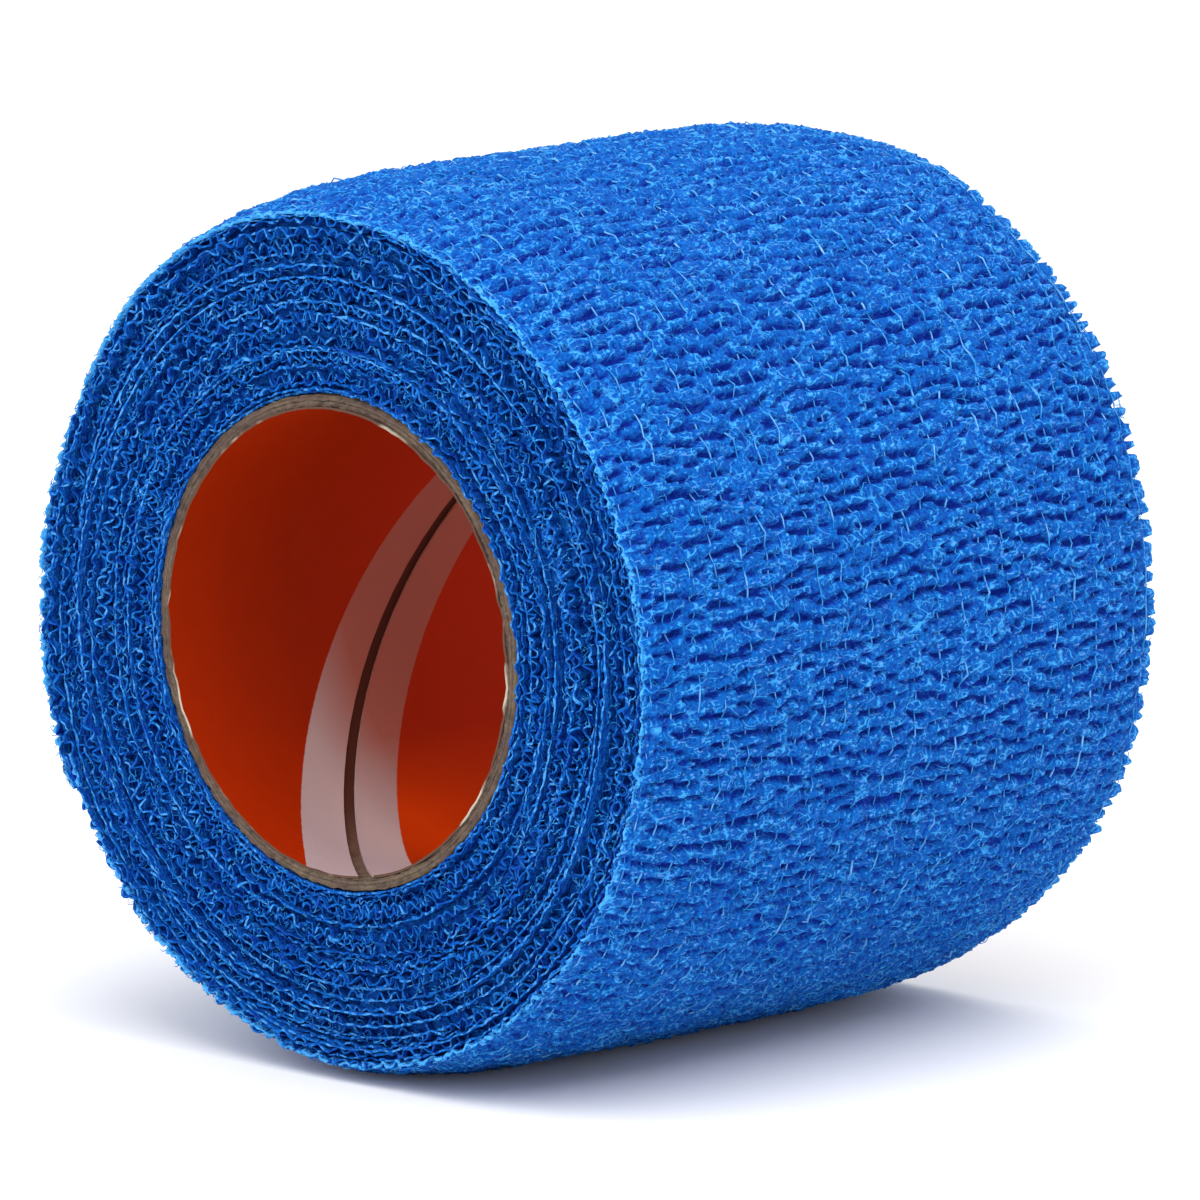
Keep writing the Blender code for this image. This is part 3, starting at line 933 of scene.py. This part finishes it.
def board_tube():
    """The board tube, with the plies and torn fibres of its cut ends."""
    rng = np.random.default_rng(SEEDS["board"])
    columns, across, along_rows = BOARD_COLUMNS, BOARD_ACROSS, BOARD_ALONG
    angle = np.linspace(0, FULL_TURN, columns, endpoint=False)
    arc = FULL_TURN * TUBE_RADIUS / columns
    share = np.linspace(0, 1, across)
    ends = []
    for side in (FRONT, BACK):
        torn = wander(rng, columns, arc, 0.0004, sets=across)
        slow = wander(rng, columns, arc, 0.006, sets=across)
        groove = np.cos(FULL_TURN * BOARD_PLIES * share) * 0.00003
        out = -0.00006 + groove[:, None] + 0.00004 * torn + 0.00003 * slow
        wobble = 0.00003 * wander(rng, columns, arc, 0.0007, sets=across)
        radius = BOARD_INNER + share[:, None] * (TUBE_RADIUS - BOARD_INNER) + wobble
        line = np.clip(0.5 - 0.5 * np.cos(FULL_TURN * BOARD_PLIES * share), 0, 1)[:, None] ** 3
        ends.append(list(zip(radius, side * (HALF_WIDTH + out), line * np.ones((1, columns)))))
    lengthways = np.linspace(-HALF_WIDTH, HALF_WIDTH, along_rows + 2)[1:-1]

    level = np.ones(columns)
    outside = [(TUBE_RADIUS * level, y * level, 0 * level) for y in lengthways]
    inside = [(BOARD_INNER * level, y * level, 0 * level) for y in lengthways[::-1]]
    loop = ends[0] + outside + ends[1][::-1] + inside
    radius, height, lines = (np.array(rows) for rows in zip(*loop))
    points = on_roll(angle, radius, height).reshape(-1, 3)
    quads = grid_quads(len(loop) + 1, columns, closed=True) % len(points)
    mesh = build_mesh("tube_board", points, quads[:, ::-1])
    keep_number(mesh, "ply_line", lines)
    # The bore side, which the material darkens with painted shade where it shows through the seam.
    painted_shade_in_bore = np.zeros(lines.shape)
    painted_shade_in_bore[-len(inside):] = 1.0
    keep_number(mesh, "inside", painted_shade_in_bore)
    return add_piece("tube_board", mesh, board_material(), "core_board")


def printed_lining():
    """The lining's spiral strip, closed all round, with pale cut edges."""
    own = sizes()
    rng = np.random.default_rng(SEEDS["lining"])
    columns, rows = LINING_COLUMNS, LINING_ROWS
    girth = FULL_TURN * LINING_INNER
    slope = own.seam_lead / math.hypot(own.seam_lead, girth)
    gap = own.seam_gap / slope / LINING_INNER
    share = np.linspace(0, 1, columns)[None, :]
    along = np.linspace(-HALF_WIDTH, HALF_WIDTH, rows)[:, None]
    seam = SEAM_FRONT - FULL_TURN / own.seam_lead * (along + HALF_WIDTH)
    angle = seam + gap / 2 + share * (FULL_TURN - gap)
    height = along + np.zeros_like(angle)
    arc = girth / columns
    height[0] -= LINING_OUT + LINING_FRAY * wander(rng, columns, arc, 0.0006)
    height[-1] += LINING_OUT + LINING_FRAY * wander(rng, columns, arc, 0.0006)
    curl = LINING_CURL * (np.exp(-share * 90) + np.exp(-(1 - share) * 90))
    ripple = LINING_RIPPLE * np.sin(5 * angle + 300 * height)
    inner = on_roll(angle, LINING_INNER - curl + ripple, height)
    outer = on_roll(angle, LINING_OUTER - curl, height)
    from_edge = np.minimum(share, 1 - share) * (FULL_TURN - gap) * LINING_INNER * slope
    from_edge = from_edge + np.zeros_like(angle)
    points = np.concatenate([inner.reshape(-1, 3), outer.reshape(-1, 3)])
    face = grid_quads(rows, columns)
    under = rows * columns
    rim = np.concatenate([       # all round the strip's edge
        np.arange(columns), np.arange(2, rows + 1) * columns - 1,
        under - np.arange(2, columns + 1), np.arange(rows - 2, 0, -1) * columns,
    ])
    after = np.roll(rim, -1)
    sides = np.stack([after, rim, rim + under, after + under], 1)
    quads = np.concatenate([face, face[:, ::-1] + under, sides])
    mesh = build_mesh("tube_lining", points, quads)
    mesh.set_sharp_from_angle(angle=math.radians(40))
    keep_number(mesh, "from_seam", np.concatenate([from_edge.ravel()] * 2))
    at_end = (rim % under // columns == 0) & (after // columns == 0)
    at_end |= (rim // columns == rows - 1) & (after // columns == rows - 1)
    keep_number(mesh, "cut_end", np.concatenate([np.zeros(len(face)), np.ones(len(face)), at_end]),
                "FACE")
    return add_piece("tube_lining", mesh, lining_material(), "core_lining")


# ---- stage ----

CAMERA_AZIMUTH = 0.762028
CAMERA_ELEVATION = 0.177543
CAMERA_DISTANCE = 0.97365
CAMERA_SHIFT = (0.00042, -0.00029)   # sideways and up, to frame the roll as in the picture
FOCAL_PIXELS = 14264.0               # in a picture 1200 pixels wide
PICTURE_WIDTH = 1200.0


def towards(azimuth, elevation):
    """Direction seen from the roll. Azimuth 0 is -Y, and it runs on towards +X."""
    return Vector((math.sin(azimuth) * math.cos(elevation),
                   -math.cos(azimuth) * math.cos(elevation), math.sin(elevation)))


def photo_camera():
    data = bpy.data.cameras.new("Camera")
    data.sensor_width = 36.0
    data.lens = FOCAL_PIXELS / PICTURE_WIDTH * data.sensor_width
    data.clip_start, data.clip_end = 0.05, 20.0
    camera = add_object("Camera", data)
    back = towards(CAMERA_AZIMUTH, CAMERA_ELEVATION)
    right = Vector((math.cos(CAMERA_AZIMUTH), math.sin(CAMERA_AZIMUTH), 0.0))
    up = back.cross(right)
    place = Vector(MIDDLE) + back * CAMERA_DISTANCE
    place = place + right * CAMERA_SHIFT[0] + up * CAMERA_SHIFT[1]
    turned = Matrix((right, up, back)).transposed().to_4x4()
    camera.matrix_world = Matrix.Translation(place) @ turned
    bpy.context.scene.camera = camera


# Each lamp's direction from the roll in degrees, distance, width and power.
LAMPS = (
    {"name": "Key", "azimuth": 75, "elevation": 68, "away": 0.55, "wide": 0.7, "power": 3.1},
    {"name": "Front fill", "azimuth": -5, "elevation": 36, "away": 0.7, "wide": 0.9, "power": 3.2},
    {"name": "Back fill", "azimuth": 145, "elevation": 16, "away": 0.8, "wide": 0.9, "power": 1.4},
)

FLOOR_REACH = 6.0
WORLD_STRENGTH = 0.80


def studio():
    floor_mesh = bpy.data.meshes.new("floor")
    corners = [(x * FLOOR_REACH, y * FLOOR_REACH, 0)
               for x, y in ((-1, -1), (1, -1), (1, 1), (-1, 1))]
    floor_mesh.from_pydata(corners, [], [(0, 1, 2, 3)])
    floor_mesh.materials.append(floor_material())
    floor = add_object("floor", floor_mesh)
    for lamp in LAMPS:
        data = bpy.data.lights.new(lamp["name"], "AREA")
        data.energy = lamp["power"]
        data.size = lamp["wide"]
        light = add_object(lamp["name"], data)
        away = towards(math.radians(lamp["azimuth"]), math.radians(lamp["elevation"]))
        light.location = Vector(MIDDLE) + away * lamp["away"]
        light.rotation_mode = "QUATERNION"
        light.rotation_quaternion = away.to_track_quat("Z", "Y")
    world = bpy.data.worlds.new("Studio")
    world.use_nodes = True
    background = world.node_tree.nodes["Background"]
    background.inputs["Color"].default_value = (1.0, 1.0, 1.0, 1.0)
    background.inputs["Strength"].default_value = WORLD_STRENGTH
    bpy.context.scene.world = world
    bpy.context.scene.view_settings.view_transform = "Standard"


# ---- operators ----

class BANDAGE_OT_stage(bpy.types.Operator):
    """Adds the camera, the lamps and the pale floor"""
    bl_idname = "bandage.stage"
    bl_label = "Stage"

    def execute(self, context):
        photo_camera()
        studio()
        return {"FINISHED"}


class BANDAGE_OT_winding(bpy.types.Operator):
    """Adds the outer turn, the cut edges at both ends, the threads and the loose fibres"""
    bl_idname = "bandage.winding"
    bl_label = "Wound crepe"

    def execute(self, context):
        outer = outer_turn()
        with_it = end_face(FRONT, "front") + end_face(BACK, "back")
        with_it += [elastic_threads(), loose_fibres()]
        for piece in outer:
            with_it = []
        return {"FINISHED"}


class BANDAGE_OT_tube(bpy.types.Operator):
    """Adds the board tube and its printed lining"""
    bl_idname = "bandage.tube"
    bl_label = "Lined tube"

    def execute(self, context):
        board_tube()
        printed_lining()
        return {"FINISHED"}


class BANDAGE_PT_panel(bpy.types.Panel):
    """Sizes, colours and the steps that make the roll"""
    bl_idname = "BANDAGE_PT_panel"
    bl_label = "Cohesive bandage roll"
    bl_space_type = "VIEW_3D"
    bl_region_type = "UI"
    bl_category = "Bandage"

    def draw(self, context):
        for group in (sizes(), colours()):
            column = self.layout.column(align=True)
            for name in group.__annotations__:
                column.prop(group, name)
        for operator in OPERATORS:
            self.layout.operator(operator.bl_idname)


OPERATORS = (BANDAGE_OT_stage, BANDAGE_OT_tube, BANDAGE_OT_winding)
CLASSES = (BandageSizes, BandageColours, *OPERATORS, BANDAGE_PT_panel)


def register():
    for made in CLASSES:
        bpy.utils.register_class(made)
    bpy.types.Scene.bandage_sizes = PointerProperty(type=BandageSizes)
    bpy.types.Scene.bandage_colours = PointerProperty(type=BandageColours)


def unregister():
    del bpy.types.Scene.bandage_colours
    del bpy.types.Scene.bandage_sizes
    for made in reversed(CLASSES):
        bpy.utils.unregister_class(made)


def main():
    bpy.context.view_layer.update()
    register()
    bpy.ops.bandage.stage()
    bpy.ops.bandage.tube()
    bpy.ops.bandage.winding()


if __name__ == "__main__":
    main()
